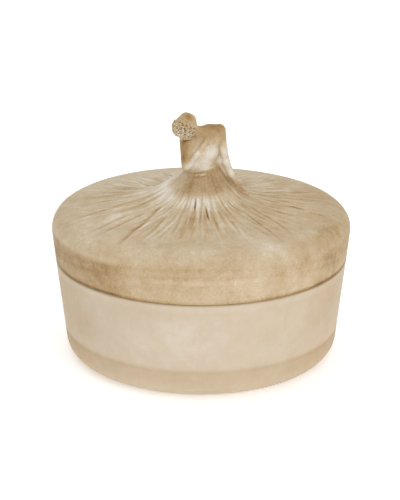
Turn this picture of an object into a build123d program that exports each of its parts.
from build123d import *
from math import atan2, cos, exp, pi, sin, sqrt
import os

# Round powder jar of frosted, patinated pressed glass: an open bowl, and a loose domed lid whose
# handle is a small bowing dancer with her skirt spread over the lid. Both pieces are solid glass
# castings. Millimetres, +Z up, origin at the centre of the ring that the bowl stands on. The
# dancer faces -Y, and her head hangs towards -X.

# --- driving dimensions: bowl ---
SEAT_Z = 27.3               # the bowl's rim, which the lid rests on
SEAT_R = 39.24              # outer radius of the bowl and of the lid where they meet
FOOT_R = 36.3               # the outer wall's line carried down to the table
FOOT_ROUND = 5.5            # rounding between the wall and the foot
FOOT_RECESS_R = 23.0        # shallow hollow ground into the underside
FOOT_RECESS_DEPTH = 0.6
FLOOR_Z = 8.5               # the cavity's flat floor, over a thick glass base
FLOOR_R = 33.2              # the cavity's wall line carried down to the floor
FLOOR_ROUND = 4.0
RIM_EDGE_ROUND = 0.7        # eased outer edge of the bowl's rim
COLLAR_HEIGHT = 2.4         # the locating collar that stands up inside the lid
COLLAR_OUTER_R = 36.2
COLLAR_INNER_R = 34.2
COLLAR_EDGE_ROUND = 0.6

# --- driving dimensions: lid ---
LID_R = 40.0                # widest circle of the lid, where its rim turns into the shoulder
LID_RIM_Z = 35.0            # height of that circle
SHOULDER_ROUND = 5.2
LID_EDGE_ROUND = 0.5
LID_BORE_R = 36.7           # the lid's hollow, 0.5 clear of the collar all round
CEILING_EDGE_Z = 35.8       # underside of the lid, at its edge and on the axis
CEILING_TOP_Z = 38.2
CEILING_ROUND = 2.5

# --- driving dimensions: the skirt, the lid's top surface from the shoulder up to the waist ---
SKIRT_EDGE_SLOPE = 0.06     # rise per millimetre inwards, over the whole skirt
SKIRT_FLARE_RISE = 7.6      # extra rise of the flare, at the radius named next
SKIRT_FLARE_START_R = 5.0
SKIRT_FLARE_LENGTH = 4.8    # the flare falls to 1/e over this distance
SKIRT_CURVE_POINTS = 7
WAIST_R = 4.2

# --- driving dimensions: the dancer; places are (x, y, z) ---
TORSO_SECTIONS = [          # centre, half width across the body, half depth front to back
    ((0.3, 0.2, 44.0), 3.0, 2.8),
    ((0.3, 0.1, 50.0), 3.7, 3.2),
    ((0.3, -0.3, 53.0), 5.4, 3.8),
    ((0.4, -0.7, 57.0), 5.9, 4.0),
    ((0.7, -0.9, 60.3), 5.3, 3.6),
    ((1.6, -0.7, 62.3), 3.2, 2.4),
]
BACK_CENTRE, BACK_R = (3.1, -0.3, 60.0), 3.3
NECK = ((-0.6, -2.0, 61.0), (-3.8, -4.6, 63.4), 2.6, 2.2)   # from, to, radius at each end
HEAD_CENTRE, HEAD_R = (-4.4, -5.4, 63.9), 3.5
BUN_CENTRE, BUN_R = (-3.5, -4.6, 66.4), 1.7
BENT_SHOULDER, BENT_ELBOW = (-4.1, -2.6, 60.0), (-3.9, -3.2, 52.4)
BENT_HAND = (2.0, -4.6, 59.0)
BENT_ARM_R = (1.8, 1.45, 1.1)           # at the shoulder, the elbow and the hand
LONG_SHOULDER, LONG_ELBOW = (4.6, -0.2, 60.2), (6.2, 0.2, 53.4)
LONG_HAND = (10.8, 0.6, 44.8)
LONG_ARM_R = (2.0, 1.6, 1.0)
JOINT_BALL = 1.03                       # a joint's ball, as a share of the arm's radius there
# Glass fills the space between the long arm, the torso and the skirt, as an upright web.
WEB_OUTLINE = [(3.0, 58.0), (6.2, 53.4), (10.8, 44.8), (9.0, 43.0), (3.0, 43.0)]
WEB_Y, WEB_THICKNESS = 0.3, 2.4


def rounded_corner(section, corner, radius):
    """Rounds the corner of a flat section that lies nearest to (radius from axis, height)."""
    place = Vector(corner[0], 0, corner[1])
    vertex = min(section.vertices(), key=lambda v: (Vector(*v) - place).length)
    return fillet(vertex, radius)


def xz_face(outline):
    """A face in the XZ plane from points given as (x, z)."""
    return make_face(Polyline([(r, 0, z) for r, z in outline], close=True))


def jar_bowl():
    collar_top = SEAT_Z + COLLAR_HEIGHT
    section = xz_face([
        (0, FOOT_RECESS_DEPTH),
        (FOOT_RECESS_R, FOOT_RECESS_DEPTH),
        (FOOT_RECESS_R + FOOT_RECESS_DEPTH, 0),
        (FOOT_R, 0),
        (SEAT_R, SEAT_Z),
        (COLLAR_OUTER_R, SEAT_Z),
        (COLLAR_OUTER_R, collar_top),
        (COLLAR_INNER_R, collar_top),
        (FLOOR_R, FLOOR_Z),
        (0, FLOOR_Z),
    ])
    section = rounded_corner(section, (FOOT_R, 0), FOOT_ROUND)
    section = rounded_corner(section, (SEAT_R, SEAT_Z), RIM_EDGE_ROUND)
    section = rounded_corner(section, (COLLAR_OUTER_R, collar_top), COLLAR_EDGE_ROUND)
    section = rounded_corner(section, (COLLAR_INNER_R, collar_top), COLLAR_EDGE_ROUND)
    section = rounded_corner(section, (FLOOR_R, FLOOR_Z), FLOOR_ROUND)
    return revolve(section, Axis.Z)


def shoulder():
    """The shoulder's centre, and the angles at which its arc leaves the rim and meets the skirt."""
    rim_lean = atan2(LID_R - SEAT_R, LID_RIM_Z - SEAT_Z)
    centre_r = LID_R - SHOULDER_ROUND * cos(rim_lean)
    centre_z = LID_RIM_Z + SHOULDER_ROUND * sin(rim_lean)
    return centre_r, centre_z, -rim_lean, pi / 2 - atan2(SKIRT_EDGE_SLOPE, 1)


def skirt_edge():
    """Where the shoulder ends and the skirt begins, as (radius, height)."""
    centre_r, centre_z, _, top = shoulder()
    return centre_r + SHOULDER_ROUND * cos(top), centre_z + SHOULDER_ROUND * sin(top)


def skirt_z(r):
    """Height of the skirt at a distance from the axis: a shallow cone that flares up to the waist."""
    edge_r, edge_z = skirt_edge()
    flare = SKIRT_FLARE_RISE * exp(-(r - SKIRT_FLARE_START_R) / SKIRT_FLARE_LENGTH)
    edge_flare = SKIRT_FLARE_RISE * exp(-(edge_r - SKIRT_FLARE_START_R) / SKIRT_FLARE_LENGTH)
    return edge_z + SKIRT_EDGE_SLOPE * (edge_r - r) + flare - edge_flare


def lid_cover():
    """The lid without its handle: rim, shoulder and skirt, hollow underneath."""
    centre_r, centre_z, low, high = shoulder()
    edge_r, edge_z = skirt_edge()
    rim = Polyline((0, 0, CEILING_TOP_Z), (LID_BORE_R, 0, CEILING_EDGE_Z), (LID_BORE_R, 0, SEAT_Z),
                   (SEAT_R, 0, SEAT_Z), (LID_R, 0, LID_RIM_Z))
    mid = (low + high) / 2
    arc = ThreePointArc((LID_R, 0, LID_RIM_Z),
                        (centre_r + SHOULDER_ROUND * cos(mid), 0, centre_z + SHOULDER_ROUND * sin(mid)),
                        (edge_r, 0, edge_z))
    # Points crowd towards the waist, where the flare is steepest.
    shares = [sqrt(i / (SKIRT_CURVE_POINTS - 1)) for i in range(SKIRT_CURVE_POINTS)]
    radii = [edge_r + (WAIST_R - edge_r) * share for share in shares]
    waist_slope = SKIRT_EDGE_SLOPE + (SKIRT_FLARE_RISE / SKIRT_FLARE_LENGTH
                                      * exp(-(WAIST_R - SKIRT_FLARE_START_R) / SKIRT_FLARE_LENGTH))
    skirt = Spline(*[(r, 0, skirt_z(r)) for r in radii],
                   tangents=[(-1, 0, SKIRT_EDGE_SLOPE), (-1, 0, waist_slope)])
    top = skirt_z(WAIST_R)
    neck = Polyline((WAIST_R, 0, top), (0, 0, top), (0, 0, CEILING_TOP_Z))
    section = make_face(rim + arc + skirt + neck)
    section = rounded_corner(section, (LID_BORE_R, CEILING_EDGE_Z), CEILING_ROUND)
    section = rounded_corner(section, (SEAT_R, SEAT_Z), LID_EDGE_ROUND)
    section = rounded_corner(section, (LID_BORE_R, SEAT_Z), LID_EDGE_ROUND)
    return revolve(section, Axis.Z)


def limb(start, end, start_r, end_r):
    """A tapered round limb between two points."""
    axis = Vector(*end) - Vector(*start)
    middle = (Vector(*start) + Vector(*end)) * 0.5
    return Plane(origin=middle, z_dir=axis) * Cone(start_r, end_r, axis.length)


def ball(centre, radius):
    return Pos(*centre) * Sphere(radius)


def arm(shoulder_at, elbow_at, hand_at, radii):
    """Upper arm and forearm, with a ball a little proud of them at each joint."""
    at = (shoulder_at, elbow_at, hand_at)
    made = limb(at[0], at[1], radii[0], radii[1]) + limb(at[1], at[2], radii[1], radii[2])
    for place, radius in zip(at, radii):
        made += ball(place, radius * JOINT_BALL)
    return made


def arm_web():
    """The upright web of glass that joins the long arm to the torso and the skirt."""
    return extrude(xz_face(WEB_OUTLINE).moved(Pos(0, WEB_Y, 0)), WEB_THICKNESS / 2, both=True)


def torso():
    """The body from inside the skirt up to the shoulders."""
    return loft([Pos(*centre) * Ellipse(width, depth) for centre, width, depth in TORSO_SECTIONS])


def dancer():
    body = torso() + ball(BACK_CENTRE, BACK_R) + limb(*NECK)
    body += ball(HEAD_CENTRE, HEAD_R) + ball(BUN_CENTRE, BUN_R)
    body += arm(BENT_SHOULDER, BENT_ELBOW, BENT_HAND, BENT_ARM_R)
    body += arm(LONG_SHOULDER, LONG_ELBOW, LONG_HAND, LONG_ARM_R)
    return body + arm_web()


def lid():
    return lid_cover() + dancer()


def write(shape, node):
    solids = shape.solids()
    if len(solids) != 1 or not solids[0].is_valid:
        raise ValueError(f"{node} should be one valid solid, and it is {len(solids)}")
    export_step(solids[0], f"parts/{node}.step")


os.makedirs("parts", exist_ok=True)
write(jar_bowl(), "jar_bowl")
write(lid(), "lid")
